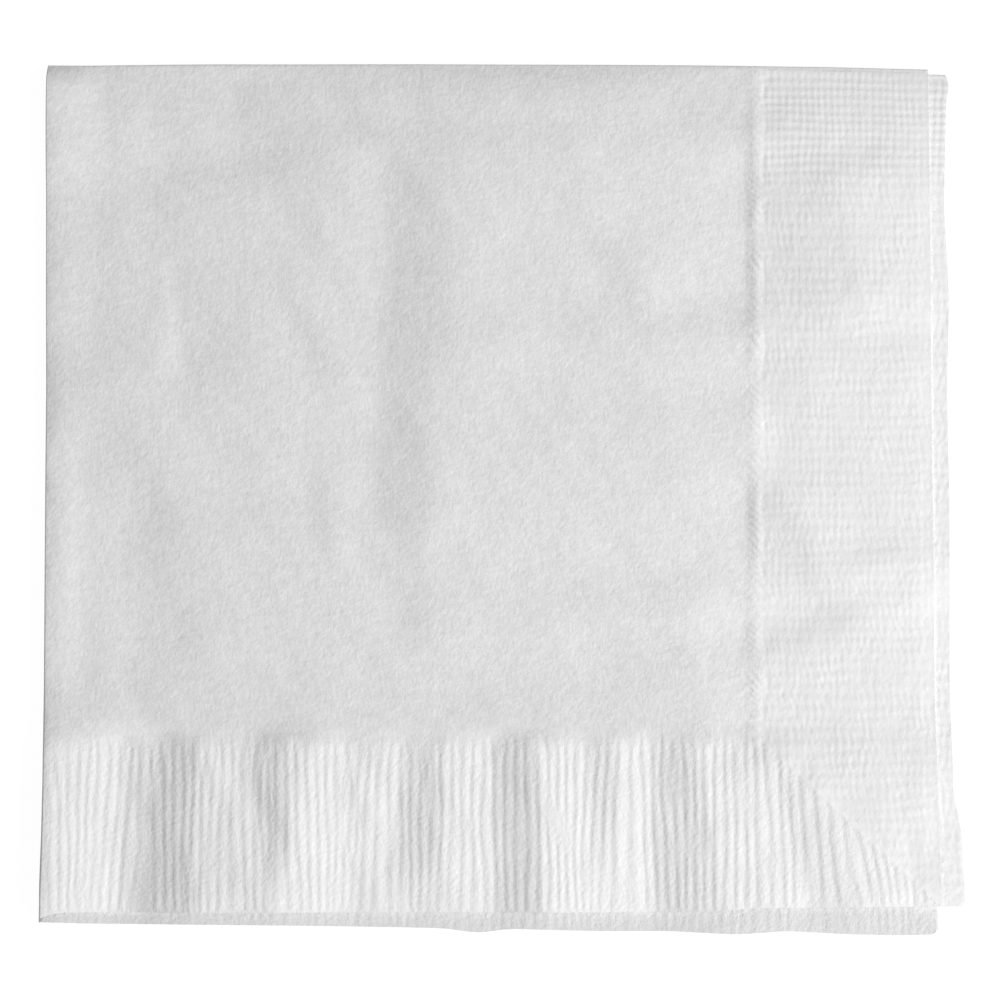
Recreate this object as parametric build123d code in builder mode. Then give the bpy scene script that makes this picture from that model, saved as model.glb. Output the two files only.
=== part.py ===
from build123d import *
import math
import os

# Paper napkin: one sheet of two-ply tissue, embossed all round with a ribbed border
# and folded twice to a quarter of its size. It lies as it does on a table, with both
# folds up and left in plan and the sheet's four embossed corners at the bottom right.
#
# The first fold is upright in plan and closes each pair of leaves at the left. The
# second fold lies along the top and turns the pair over on itself. So leaf 1 is on
# top, leaf 2 under it, and leaves 3 and 4 below them. Leaves 2 and 3 share the small
# inner fold at the top, and leaves 1 and 4 share the outer one.

# Sheet and stack, millimetres
sheet_thickness = 0.28  # two loosely pressed plies
rib_height = 0.24  # depth of the embossing
leaf_clearance = 0.14  # air left between the ribs of one leaf and the leaf above

# Embossed border
border_width = 24.0  # from the cut edge to the plain middle
rib_pitch = 1.48  # along the bottom edge
fold_margin = 1.0  # paper that stays plain beside a fold
crease_flats = 6  # short flats round the first fold, which is pressed and not quite round

# Plan of the leaves, measured from the folds
outer_leaf_width = 125.0  # leaves 1 and 4, along the top fold
inner_leaf_width = 127.6  # leaves 2 and 3, along the top fold
upper_left_depth = 120.2  # leaves 1 and 2, down the left fold
upper_right_depth = 118.7  # leaves 1 and 2, down the cut edge
lower_left_depth = 121.4  # leaves 3 and 4, down the left fold
lower_right_depth = 122.4  # leaves 3 and 4, down the cut edge
upper_fold_lean = 0.8  # how far the upper pair's left fold strays to the right

# How far each leaf's right edge strays outwards: first down to the border, then in it
lean_1 = 0.9
lean_2 = 0.4
lean_3 = -1.3
lean_4 = 1.4
flare_1 = 0.7
flare_2 = 1.8
flare_3 = -0.4
flare_4 = 0.5

# Levels of the stack, from the table up
leaf_pitch = sheet_thickness + rib_height + leaf_clearance
level_4 = 0.0
level_3 = leaf_pitch
level_2 = 2 * leaf_pitch
level_1 = 3 * leaf_pitch
stack_middle = (level_1 + sheet_thickness) / 2
top_fold_radius = stack_middle  # outside of the second fold
left_fold_radius = (leaf_pitch + sheet_thickness) / 2  # outside of the first fold
left_fold_bore = (leaf_pitch - sheet_thickness) / 2  # inside of the first fold

# The plan is drawn from the point where the axes of the two folds cross, and the
# whole napkin is centred on the origin.
widest = max(
    outer_leaf_width + lean_1 + flare_1,
    inner_leaf_width + lean_2 + flare_2,
    inner_leaf_width + lean_3 + flare_3,
    outer_leaf_width + lean_4 + flare_4,
)
deepest = max(lower_left_depth, lower_right_depth) - top_fold_radius
fold_x = (left_fold_radius - widest) / 2
fold_y = (deepest - top_fold_radius) / 2


def plan_plane(level):
    """Horizontal plane with its origin where the fold axes cross."""
    return Plane((fold_x, fold_y, level))


def ribbed_strip(section_plane, first, rib_count, pitch, length, region, level):
    """Zigzag strip of sheet, drawn across the ribs and cut to its region in plan."""
    crests = [(first + k * pitch / 2, (k % 2) * rib_height) for k in range(2 * rib_count + 1)]
    upper_line = [(s, z + sheet_thickness) for s, z in crests]
    with BuildPart() as strip:
        with BuildSketch(section_plane):
            with BuildLine():
                Polyline(*crests, *reversed(upper_line), close=True)
            make_face()
        extrude(amount=length)
        with BuildSketch(plan_plane(level)):
            with BuildLine():
                Polyline(*region, close=True)
            make_face()
        extrude(amount=sheet_thickness + rib_height, mode=Mode.INTERSECT)
    return strip.part


def leaf(level, width, left_shift, left_depth, right_depth, lean, flare):
    """One quarter of the sheet: plain middle, and ribs along its two cut edges."""
    left_y = top_fold_radius - left_depth
    corner_x = width + lean + flare
    corner_y = top_fold_radius - right_depth

    def cut_edge(x):
        return left_y + (corner_y - left_y) * (x - left_shift) / (corner_x - left_shift)

    # The two borders meet along a mitre, from their inner corner to the leaf's corner.
    inner_x = width - border_width
    inner_y = cut_edge(inner_x) + border_width
    side_pitch = rib_pitch * (inner_y - corner_y) / (corner_x - inner_x)

    # Whole ribs only, counted from the mitre towards each fold
    bottom_ribs = math.floor((inner_x - left_shift - fold_margin) / rib_pitch)
    side_ribs = math.floor((-fold_margin - inner_y) / side_pitch)
    mitre_ribs = math.ceil((corner_x - inner_x) / rib_pitch)
    ribs_left = inner_x - bottom_ribs * rib_pitch
    ribs_top = inner_y + side_ribs * side_pitch
    edge_at_ribs_top = width + lean * ribs_top / inner_y

    plain = [
        (0, 0),
        (width, 0),
        (edge_at_ribs_top, ribs_top),
        (inner_x, ribs_top),
        (inner_x, inner_y),
        (ribs_left, cut_edge(ribs_left) + border_width),
        (ribs_left, cut_edge(ribs_left)),
        (left_shift, left_y),
    ]
    bottom_region = [
        (ribs_left, cut_edge(ribs_left) + border_width),
        (inner_x, inner_y),
        (corner_x, corner_y),
        (ribs_left, cut_edge(ribs_left)),
    ]
    side_region = [
        (inner_x, ribs_top),
        (edge_at_ribs_top, ribs_top),
        (width + lean, inner_y),
        (corner_x, corner_y),
        (inner_x, inner_y),
    ]
    top_of_border = max(inner_y, cut_edge(ribs_left) + border_width)
    down = Plane((fold_x, fold_y + top_of_border, level), x_dir=(1, 0, 0), z_dir=(0, -1, 0))
    across = Plane((fold_x + inner_x, fold_y, level), x_dir=(0, 1, 0), z_dir=(1, 0, 0))
    bottom_strip = ribbed_strip(
        section_plane=down,
        first=ribs_left,
        rib_count=bottom_ribs + mitre_ribs,
        pitch=rib_pitch,
        length=top_of_border - min(left_y, corner_y),
        region=bottom_region,
        level=level,
    )
    side_strip = ribbed_strip(
        section_plane=across,
        first=inner_y - mitre_ribs * side_pitch,
        rib_count=side_ribs + mitre_ribs,
        pitch=side_pitch,
        length=max(width + lean, corner_x) - inner_x,
        region=side_region,
        level=level,
    )
    with BuildPart() as whole:
        with BuildSketch(plan_plane(level)):
            with BuildLine():
                Polyline(*plain, close=True)
            make_face()
        extrude(amount=sheet_thickness)
        add([bottom_strip, side_strip])
    return whole.part


def crease_line(radius, middle):
    """Half circle of short flats, from its top round the left to its bottom."""
    turns = [math.pi * k / crease_flats for k in range(crease_flats + 1)]
    return [(-radius * math.sin(a), middle + radius * math.cos(a)) for a in turns]


def crease(lower_level):
    """Section of the first fold, which joins two leaves at the left."""
    middle = lower_level + left_fold_radius
    outside = crease_line(left_fold_radius, middle)
    inside = crease_line(left_fold_bore, middle)
    with BuildSketch() as section:
        with BuildLine():
            Polyline(*outside, *reversed(inside), close=True)
        make_face()
    return section.sketch


leaves = [
    leaf(level_1, outer_leaf_width, upper_fold_lean, upper_left_depth, upper_right_depth, lean_1, flare_1),
    leaf(level_2, inner_leaf_width, upper_fold_lean, upper_left_depth, upper_right_depth, lean_2, flare_2),
    leaf(level_3, inner_leaf_width, 0.0, lower_left_depth, lower_right_depth, lean_3, flare_3),
    leaf(level_4, outer_leaf_width, 0.0, lower_left_depth, lower_right_depth, lean_4, flare_4),
]

upright = Plane((fold_x, fold_y, 0), x_dir=(1, 0, 0), z_dir=(0, -1, 0))
fold_axis = Axis((fold_x, fold_y, stack_middle), (-1, 0, 0))
upper_length = upper_left_depth - top_fold_radius
lower_length = lower_left_depth - top_fold_radius

with BuildPart() as napkin:
    # First fold, once for the upper pair of leaves and once for the lower pair
    with BuildSketch(upright):
        add(crease(level_2))
    extrude(amount=math.hypot(upper_length, upper_fold_lean), dir=(upper_fold_lean, -upper_length, 0))
    with BuildSketch(upright):
        add(crease(level_4))
    extrude(amount=lower_length)

    # Second fold: the upper pair's whole section turns over to become the lower pair's
    with BuildSketch(upright):
        add(crease(level_2))
        with Locations((0, level_1)):
            Rectangle(outer_leaf_width, sheet_thickness, align=(Align.MIN, Align.MIN))
        with Locations((0, level_2)):
            Rectangle(inner_leaf_width, sheet_thickness, align=(Align.MIN, Align.MIN))
    revolve(axis=fold_axis, revolution_arc=180)

    add(leaves)

napkin.part.label = "napkin"
os.makedirs("parts", exist_ok=True)
export_step(napkin.part, "parts/napkin.step")
box = napkin.part.bounding_box()
print("size", box.size, "low", box.min, "solids", len(napkin.part.solids()))
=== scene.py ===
# %% [markdown]
# The object is a paper napkin: one sheet of white two-ply tissue, cut 254 x 241 mm, embossed
# round its edges with fine ribs and beads, and folded twice into a quarter of its size. It
# lies on a table as it comes from the packet. This file makes the sheet flat, embosses it,
# folds it and drapes it, in the order in which a napkin machine and a hand would.

# %% Load the frame
import math

import bpy
import numpy as np
from mathutils import Matrix, Vector
from mathutils.geometry import delaunay_2d_cdt


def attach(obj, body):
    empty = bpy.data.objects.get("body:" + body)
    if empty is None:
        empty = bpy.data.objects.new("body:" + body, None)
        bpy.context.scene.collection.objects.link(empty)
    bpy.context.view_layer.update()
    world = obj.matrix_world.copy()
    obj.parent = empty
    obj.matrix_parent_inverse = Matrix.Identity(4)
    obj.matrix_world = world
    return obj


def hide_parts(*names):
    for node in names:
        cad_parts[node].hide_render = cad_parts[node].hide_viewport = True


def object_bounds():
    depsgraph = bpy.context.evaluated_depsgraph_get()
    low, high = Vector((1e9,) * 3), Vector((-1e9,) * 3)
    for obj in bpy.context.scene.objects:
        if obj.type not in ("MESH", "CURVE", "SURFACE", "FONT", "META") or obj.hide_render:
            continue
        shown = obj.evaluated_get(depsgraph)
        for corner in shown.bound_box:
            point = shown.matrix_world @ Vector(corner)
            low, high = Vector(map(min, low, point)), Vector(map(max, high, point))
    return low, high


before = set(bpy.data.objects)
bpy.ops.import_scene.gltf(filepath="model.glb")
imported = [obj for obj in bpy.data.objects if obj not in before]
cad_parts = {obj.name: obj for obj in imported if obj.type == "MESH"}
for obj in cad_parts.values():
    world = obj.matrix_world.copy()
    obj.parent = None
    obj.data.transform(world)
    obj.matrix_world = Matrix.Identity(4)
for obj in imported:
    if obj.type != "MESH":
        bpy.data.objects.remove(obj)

cad_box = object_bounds()
print("nodes", list(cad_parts), "box", [tuple(round(c, 4) for c in v) for v in cad_box])

# %% [markdown]
# Paper is thin, so its sizes read best in millimetres. Everything below is worked out in
# millimetres and turned into metres once, at the very end. The solid model's box says where
# the two folds end. A napkin machine pinches both folds hard, so the paper is pressed thin
# there: the first fold is a tiny half tube down the left side, and the second one, along the
# top, wraps four leaves. Away from the folds the leaves spring apart towards their full pitch.

# %% Sizes of the sheet and its folds
MM = 0.001
CUT_WIDTH, CUT_LENGTH = 254.0, 241.3
THICKNESS = 0.28
LEAF_PITCH = 0.45  # from one leaf to the next in the loose stack
BORDER = 24.0  # width of the embossed border
RIB_PITCH = 1.48  # ribs along the bottom edge
COLUMN_PITCH = 0.95  # beads across the side border
ROW_PITCH, LOW_ROW_PITCH = 1.21, 1.60  # beads down the side border, at its top and lower down
OUTER_WIDTH, INNER_WIDTH = 125.4, 128.0  # leaves 1 and 4, and leaves 2 and 3
UPPER_DEPTH, LOWER_DEPTH = 119.75, 122.4  # from the second fold's axis to the cut edges

FIRST_RADIUS = 0.06  # of the middle of the paper, where the first fold is pinched
SECOND_RADIUS = 0.14  # of the middle of the doubled sheet, where the second fold is pinched
PINCHED = 0.36  # what is left of the paper's thickness in a fold
first_half = math.pi * FIRST_RADIUS / 2  # paper taken up by half of each fold
second_half = math.pi * SECOND_RADIUS / 2

box_low = np.array(cad_box[0]) / MM
box_high = np.array(cad_box[1]) / MM
FLAT = 0.5  # how far a fold stands out, as a share of a round one
LEFT_OUT, TOP_OUT = 0.07, 0.27  # how far the soft sheet's folds lie outside the solid's box
fold_x = box_low[0] - LEFT_OUT + FLAT * (FIRST_RADIUS + PINCHED * THICKNESS / 2)
fold_y = box_high[1] + TOP_OUT - FLAT * (SECOND_RADIUS + FIRST_RADIUS + PINCHED * THICKNESS / 2)
print("fold axes at x", round(fold_x, 2), "y", round(fold_y, 2))

# %% [markdown]
# The camera looks almost straight down. A long lens from 0.6 m keeps the square square, and
# a tilt of a few degrees makes the near edge very slightly wider, as it is in the
# photograph. The camera is turned by a quarter of a degree, because the napkin doesn't lie
# quite level in the picture. Its place is worked out from the scale of the photograph.

# %% Camera
MM_PER_PIXEL = 0.1415
VIEW_DISTANCE = 600.0
VIEW_TILT = math.radians(3.5)
VIEW_ROLL = math.radians(0.26)
AIM = (-0.34, -0.42, 2.0)  # what lies in the middle of the picture
PICTURE = 1000  # pixels across

across = Vector((math.cos(VIEW_ROLL), math.sin(VIEW_ROLL), 0))
level_up = Vector((-math.sin(VIEW_ROLL), math.cos(VIEW_ROLL), 0))
back = -level_up * math.sin(VIEW_TILT) + Vector((0, 0, 1)) * math.cos(VIEW_TILT)
up = back.cross(across)
lens_data = bpy.data.cameras.new("camera")
lens_data.lens = lens_data.sensor_width * VIEW_DISTANCE / (MM_PER_PIXEL * PICTURE)
lens_data.clip_start, lens_data.clip_end = 0.01, 10
camera = bpy.data.objects.new("camera", lens_data)
bpy.context.collection.objects.link(camera)
turn = Matrix((across, up, back)).transposed().to_4x4()
camera.matrix_world = Matrix.Translation((Vector(AIM) + back * VIEW_DISTANCE) * MM) @ turn
bpy.context.scene.camera = camera
print("lens", round(lens_data.lens, 1), "mm")

# %% [markdown]
# One function turns a written sRGB colour into the linear values that the shaders take, and
# one adds a node with its settings and links. Both node trees of this file, the one for the
# surface and the one for the shape, are built with the same function.

# %% Two helpers
def linear(code):
    """sRGB hex colour as linear red, green, blue and alpha."""
    values = [int(code[i:i + 2], 16) / 255 for i in (1, 3, 5)]
    return [v / 12.92 if v <= 0.04045 else ((v + 0.055) / 1.055) ** 2.4 for v in values] + [1.0]


def add_node(tree, kind, settings=None, inputs=None):
    """Adds a node to the tree, with its settings, and fills or links its inputs."""
    node = tree.nodes.new(kind)
    for name, value in (settings or {}).items():
        setattr(node, name, value)
    for name, value in (inputs or {}).items():
        if isinstance(value, bpy.types.NodeSocket):
            tree.links.new(value, node.inputs[name])
        else:
            node.inputs[name].default_value = value
    return node


print("a middle grey is", round(linear("#808080")[0], 3), "in linear light")

# %% [markdown]
# A napkin is white on white, so its relief shows only by shading. A soft lamp low on the
# right, a little towards the viewer, gives each rib a light and a dark flank, and an even
# sky fills the rest. Together they light a level surface at about its own colour. The sky is
# white to the camera only, through the Light Path node, so the background stays white
# without more light on the paper.

# %% Light
LAMP_FROM = Vector((0.80, -0.36, 0.38)).normalized()
LAMP_DISTANCE = 1.25
LAMP_SIZE = 0.5
LAMP_SHARE = 0.60  # of a level surface's light
SKY_SHARE = 0.36

lamp_data = bpy.data.lights.new("key lamp", "AREA")
lamp_data.shape = "DISK"
lamp_data.size = LAMP_SIZE
lamp_data.energy = LAMP_SHARE * math.pi ** 2 * LAMP_DISTANCE ** 2 / LAMP_FROM.z
lamp = bpy.data.objects.new("key lamp", lamp_data)
bpy.context.collection.objects.link(lamp)
lamp.location = LAMP_FROM * LAMP_DISTANCE
lamp.rotation_mode = "QUATERNION"
lamp.rotation_quaternion = LAMP_FROM.to_track_quat("Z", "Y")

world = bpy.data.worlds.new("sky")
bpy.context.scene.world = world
world.use_nodes = True
sky = world.node_tree
sky.nodes.clear()
rays = add_node(sky, "ShaderNodeLightPath")
seen = rays.outputs["Is Camera Ray"]
for other in ("Is Glossy Ray", "Is Transmission Ray"):
    inputs = {0: seen, 1: rays.outputs[other]}
    seen = add_node(sky, "ShaderNodeMath", {"operation": "MAXIMUM"}, inputs).outputs[0]
dim = add_node(sky, "ShaderNodeBackground", None, {"Color": linear("#FFFFFF"), "Strength": SKY_SHARE})
bright = add_node(sky, "ShaderNodeBackground", None, {"Color": linear("#FFFFFF"), "Strength": 1.0})
mix = add_node(sky, "ShaderNodeMixShader", None,
               {0: seen, 1: dim.outputs[0], 2: bright.outputs[0]})
add_node(sky, "ShaderNodeOutputWorld", None, {"Surface": mix.outputs[0]})
bpy.context.scene.view_settings.view_transform = "Standard"
print("lamp", round(lamp_data.energy, 1), "W")

# %% [markdown]
# The table top is a white sheet. To the camera most of its white comes from a little
# emission and the rest from the light on it, so the napkin's shadow stays as a faint grey.

# %% Floor
FLOOR_SIZE = 6.0
FLOOR_GLOW = 0.965
floor_mesh = bpy.data.meshes.new("floor")
half = FLOOR_SIZE / 2
corners = [(-half, -half, 0), (half, -half, 0), (half, half, 0), (-half, half, 0)]
floor_mesh.from_pydata(corners, [], [(0, 1, 2, 3)])
floor = bpy.data.objects.new("floor", floor_mesh)
bpy.context.collection.objects.link(floor)
table_top = bpy.data.materials.new("white table top")
table_top.use_nodes = True
tree = table_top.node_tree
tree.nodes.clear()
rays = add_node(tree, "ShaderNodeLightPath")
paint = add_node(tree, "ShaderNodeBsdfDiffuse", None, {"Color": linear("#D8D8D8")})
paint_seen = add_node(tree, "ShaderNodeBsdfDiffuse", None, {"Color": linear("#484848")})
glow = add_node(tree, "ShaderNodeEmission", None, {"Color": linear("#FFFFFF"), "Strength": FLOOR_GLOW})
both = add_node(tree, "ShaderNodeAddShader", None, {0: paint_seen.outputs[0], 1: glow.outputs[0]})
mix = add_node(tree, "ShaderNodeMixShader", None,
               {0: rays.outputs["Is Camera Ray"], 1: paint.outputs[0], 2: both.outputs[0]})
add_node(tree, "ShaderNodeOutputMaterial", None, {"Surface": mix.outputs[0]})
floor_mesh.materials.append(table_top)
print("floor", FLOOR_SIZE, "m across")

# %% [markdown]
# Each quarter of the sheet is a leaf with a corner where its two folds meet and two cut
# edges opposite. A place on it is given by how far it lies from the first fold and from the
# second fold. No napkin is folded true, so each cut edge is a short list of places along it,
# read off the photograph and drawn as a soft curve.

# %% The four leaves and their cut edges
def curve(points, soft):
    """Soft curve through a few given points, as a function of the first value."""
    places, values = zip(*points)

    def value(at):
        shifts = np.linspace(-soft, soft, 9)
        return sum(np.interp(at + s, places, values) for s in shifts) / len(shifts)

    return value


upper_bottom = curve([(0, 121.1), (1.2, 120.6), (2.6, 120.2), (43.6, 120.0), (92.8, 119.75),
                      (101.3, 119.15), (126.6, 118.75)], 0.8)
lower_bottom = curve([(0, 121.6), (8, 121.75), (36.6, 121.9), (50.6, 122.05), (57.1, 122.15),
                      (61.9, 122.8), (66.1, 122.2), (78.8, 122.45), (88.6, 122.4), (98.5, 122.85),
                      (105.5, 122.3), (113.9, 122.7), (122, 122.85), (126.0, 122.65)], 1.5)
LEAVES = {
    1: {"width": OUTER_WIDTH, "depth": UPPER_DEPTH, "lean": 0.3, "bottom": upper_bottom,
        "right": curve([(0, 125.6), (59.2, 126.1), (92.4, 126.4), (119.7, 127.2)], 4)},
    2: {"width": INNER_WIDTH, "depth": UPPER_DEPTH, "lean": 0.3, "bottom": upper_bottom,
        "right": curve([(0, 127.9), (1.0, 128.7), (4, 128.15), (19, 127.8), (33, 128.5), (47, 128.2),
                        (61, 128.5), (90, 128.5), (97, 128.8), (104, 128.95), (109, 130.0),
                        (114.5, 130.35), (119.7, 130.6)], 1)},
    3: {"width": INNER_WIDTH, "depth": LOWER_DEPTH, "lean": 0.1, "bottom": lower_bottom,
        "right": curve([(0, 127.8), (0.9, 128.1), (LOWER_DEPTH, 126.5)], 1)},
    4: {"width": OUTER_WIDTH, "depth": LOWER_DEPTH, "lean": 0.1, "bottom": lower_bottom,
        "right": curve([(0, 125.4), (LOWER_DEPTH, 126.8)], 3)},
}
# In the flat sheet leaf 1 lies to the right of the first fold and below the second one.
SIDE_OF_FIRST = {1: 1, 2: -1, 3: -1, 4: 1}
SIDE_OF_SECOND = {1: -1, 2: -1, 3: 1, 4: 1}
print("corner of the top leaf at", round(float(LEAVES[1]["right"](UPPER_DEPTH)), 1), "mm")

# %% [markdown]
# The relief needs points close together only where it can be seen. The face side of the
# sheet is the top of leaf 1, the underside of leaf 2, the top of leaf 3 and the underside
# of leaf 4. So the face side is fine in the borders of leaf 1 and in the strip of leaf 3
# that looks out at the bottom, and the back side only in the strip of leaf 2 that looks out
# at the right. Points in the borders sit in rows and columns that follow the ribs and the
# beads, and everything else is coarse. Delaunay triangles then join any mixture of points
# into one net.

# %% Points in the borders
MITRE_GAP = 0.4  # the rows and columns stop this far from the mitre


def grid(first, second):
    """All pairs of two lists of values, as rows of a table."""
    a, b = np.meshgrid(first, second)
    return np.stack([a.ravel(), b.ravel()], 1)


def both_ways(inner, low, high, step):
    """Steps from the inner corner of the borders, down as far as low and up as far as high."""
    return np.concatenate([np.arange(inner, low, -step), np.arange(inner + step, high, step)])


def rib_points(width, depth, per_rib, row_step, reach):
    """Points along the ribs of the bottom border, up to a distance from the cut edge."""
    along = both_ways(width - BORDER, 0.6, width, RIB_PITCH / per_rib)
    table = grid(along, depth - np.arange(row_step, reach, row_step))
    return table[width - table[:, 0] > depth - table[:, 1] + MITRE_GAP]


def bead_points(width, depth, per_column, per_row, reach):
    """Points on the beads of the side border, up to a distance from the cut edge."""
    down = both_ways(depth - BORDER, 0.25, depth, ROW_PITCH / per_row)
    out = np.arange(COLUMN_PITCH / per_column, reach, COLUMN_PITCH / per_column)
    table = grid(width - out, down)
    return table[depth - table[:, 1] > width - table[:, 0] + MITRE_GAP]


def mitre_points(width, depth, step):
    """Three lines of points along the mitre, from near the leaf's corner inwards."""
    s = np.arange(2 * step, BORDER, step)
    middle = np.stack([width - s, depth - s], 1)
    return np.concatenate([middle, middle + (step, 0), middle + (0, step)])


print("ribs along one leaf", round(OUTER_WIDTH / RIB_PITCH))

# %% [markdown]
# Both sides of the sheet meet at the cut edges, so they share the points there, and a few
# coarse ones carry the plain middle, which is only draped.

# %% Points on the cut edges and in the plain middle
def edge_points(width, depth):
    """Points along the two cut edges, which both sides of the sheet share."""
    along = both_ways(width - BORDER, 0.1, width - 0.1, RIB_PITCH / 6)
    down = both_ways(depth - BORDER, 0.1, depth - 0.1, ROW_PITCH / 4)
    return np.concatenate([grid(along, [depth]), grid([width], down), [[width, depth]]])


def plain_points(width, depth, step, bottom_reach, side_reach):
    """Coarse points over the rest of the leaf, clear of the fine borders."""
    gap = 0.5 * step
    right = width - max(side_reach, 0.3) - gap
    down = depth - max(bottom_reach, 0.3) - gap
    count_a = max(round((right - gap) / step), 2)
    count_b = max(round((down - gap) / step), 2)
    return grid(np.linspace(gap, right, count_a), np.linspace(gap, down, count_b))


print("points on one leaf's cut edges", len(edge_points(OUTER_WIDTH, UPPER_DEPTH)))

# %% [markdown]
# What each leaf gets on each side: points per rib and row step in the bottom border with its
# reach from the cut edge, points per bead across and down with the side border's reach, and
# the step of the coarse points. The underside of leaf 4 lies on the table, so its relief is
# only hinted at.

# %% Fineness of each face
MITRE_STEP = 0.3
BARE = (1, 1.0, 0.0)  # a border without relief reaches nowhere
FACE = {
    1: {"ribs": (6, 0.70, BORDER + 1.5), "beads": (4, 3.5, BORDER + 2.4), "plain": 1.2},
    2: {"ribs": BARE, "beads": BARE, "plain": 3.0},
    3: {"ribs": (5, 0.60, 4.5), "beads": BARE, "plain": 3.0},
    4: {"ribs": (3, 2.00, BORDER), "beads": (0.5, 2, BORDER), "plain": 3.0},
}
BACK = {number: {"ribs": BARE, "beads": BARE, "plain": 3.0} for number in LEAVES}
BACK[2]["beads"] = (4, 3.5, 5.5)


def leaf_points(leaf, fineness):
    """Points of one leaf on one side of the sheet, and whether each one carries relief."""
    width, depth = leaf["width"], leaf["depth"]
    ribs, beads = fineness["ribs"], fineness["beads"]
    rib_reach, bead_reach = ribs[-1], beads[-1]
    fine = [edge_points(width, depth)]
    if rib_reach:
        fine.append(rib_points(width, depth, *ribs))
    if bead_reach:
        fine.append(bead_points(width, depth, *beads))
    if min(rib_reach, bead_reach) > BORDER / 2:
        fine.append(mitre_points(width, depth, MITRE_STEP))
    fine = np.concatenate(fine)
    coarse = plain_points(width, depth, fineness["plain"], rib_reach, bead_reach)
    relief = np.concatenate([np.ones(len(fine)), np.zeros(len(coarse))])
    return np.concatenate([fine, coarse]), relief


# %% [markdown]
# The folds are the sharpest bends of all, so they get straight lines of points along them,
# and two more lines close beside them where the eye sees the paper come out of the bend.
# Each point of a leaf is then placed on the flat sheet, on its own side of both folds.

# %% Points along the folds, and the whole sheet
BESIDE = np.array([0.13, 0.4])  # lines of points close beside the folds of the top leaf
FIRST_LINES = np.concatenate([np.linspace(-first_half, first_half, 7), first_half + BESIDE])
SECOND_LINES = np.concatenate([np.linspace(-second_half, second_half, 9), -second_half - BESIDE])


def fold_points():
    """Points along the lines of both folds, in flat sheet places."""
    up_down = np.concatenate([np.arange(-second_half - UPPER_DEPTH + 1.2, -second_half - 0.5, 1.3),
                              np.arange(second_half + 1.2, second_half + LOWER_DEPTH - 0.5, 1.3),
                              [-second_half - UPPER_DEPTH, second_half + LOWER_DEPTH]])
    left_right = np.concatenate([np.arange(-first_half - INNER_WIDTH + 0.5, -first_half - 0.5, 1.2),
                                 np.arange(first_half + 1.2, first_half + OUTER_WIDTH - 0.3, 1.2),
                                 [-first_half - INNER_WIDTH, first_half + OUTER_WIDTH]])
    return np.concatenate([grid(FIRST_LINES, up_down), grid(FIRST_LINES, SECOND_LINES),
                           grid(left_right, SECOND_LINES)])


def side_points(fineness):
    """Flat places of all points of one side, with their relief flag."""
    folds = fold_points()
    places, relief = [folds], [np.zeros(len(folds))]
    for number, leaf in LEAVES.items():
        table, flag = leaf_points(leaf, fineness[number])
        p = SIDE_OF_FIRST[number] * (table[:, 0] + first_half)
        q = SIDE_OF_SECOND[number] * (table[:, 1] + second_half)
        places.append(np.stack([p, q], 1))
        relief.append(flag)
    places, relief = np.concatenate(places), np.concatenate(relief)
    _, keep = np.unique(np.round(places, 2), axis=0, return_index=True)
    return places[keep], relief[keep]


face_places, face_relief = side_points(FACE)
back_places, back_relief = side_points(BACK)
print("points on the face", len(face_places), "and on the back", len(back_places))

# %% [markdown]
# Both sides are triangulated, turned the right way out, and joined round the four cut edges
# by a rim as high as the paper is thick. The lines of the folds are given to the triangle
# maker as edges, because a triangle across a fold would show as a tooth. The result is one
# closed skin, still flat.

# %% The flat sheet
SAME = 1e-6  # places that lie closer together than this are the same
MERGE = 1e-5  # and the triangle maker joins points that are closer than this


def fold_edges(places):
    """Pairs of neighbours along the lines of the folds, which no triangle may cross."""
    pairs = []
    for axis, lines in ((0, FIRST_LINES), (1, SECOND_LINES)):
        for line in lines:
            ids = np.flatnonzero(np.abs(places[:, axis] - line) < SAME)
            ids = ids[np.argsort(places[ids, 1 - axis])].tolist()
            pairs += zip(ids[:-1], ids[1:])
    return pairs


def triangles_of(places):
    """Delaunay triangles of flat places, all counter-clockwise."""
    made = delaunay_2d_cdt([Vector(p) for p in places.tolist()], fold_edges(places), [], 0, MERGE)
    faces = np.array(made[2])
    source = np.array([ids[0] for ids in made[3]])
    return source[faces]


def rim_order(places):
    """Numbers of the points on the cut edges, in order round the sheet."""
    low, high = places.min(0), places.max(0)
    on_edge = ((np.abs(places - low) < SAME) | (np.abs(places - high) < SAME)).any(1)
    ids = np.flatnonzero(on_edge)
    x, y = (places[ids] - low).T
    width, height = high - low
    bottom, right, top = y < SAME, x > width - SAME, y > height - SAME
    run = np.select([bottom, right, top], [x, width + y, 2 * width + height - x],
                    2 * width + 2 * height - y)
    return ids[np.argsort(run)]


face_triangles = triangles_of(face_places)
back_triangles = triangles_of(back_places)[:, ::-1] + len(face_places)
face_rim = rim_order(face_places)
back_rim = rim_order(back_places)
assert np.allclose(face_places[face_rim], back_places[back_rim])
upper, lower = face_rim, back_rim + len(face_places)
rim_a = np.stack([lower, np.roll(lower, -1), np.roll(upper, -1)], 1)
rim_b = np.stack([lower, np.roll(upper, -1), upper], 1)
triangles = np.concatenate([face_triangles, back_triangles, rim_a, rim_b])
places = np.concatenate([face_places, back_places])
relief_flag = np.concatenate([face_relief, back_relief])
relief_flag[lower] = relief_flag[upper] = 1
outward = np.concatenate([np.ones(len(face_places)), -np.ones(len(back_places))])
print("triangles", len(triangles), "rim points", len(face_rim))

# %% [markdown]
# For each point it helps to know its leaf, its distances from the folds and from the cut
# edges, and how far along it lies in turns of the rib and bead patterns. A turn is one rib,
# so a whole number of turns is a crest. A mixture of slow waves, with a fixed seed, makes
# what is never quite regular in paper.

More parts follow.
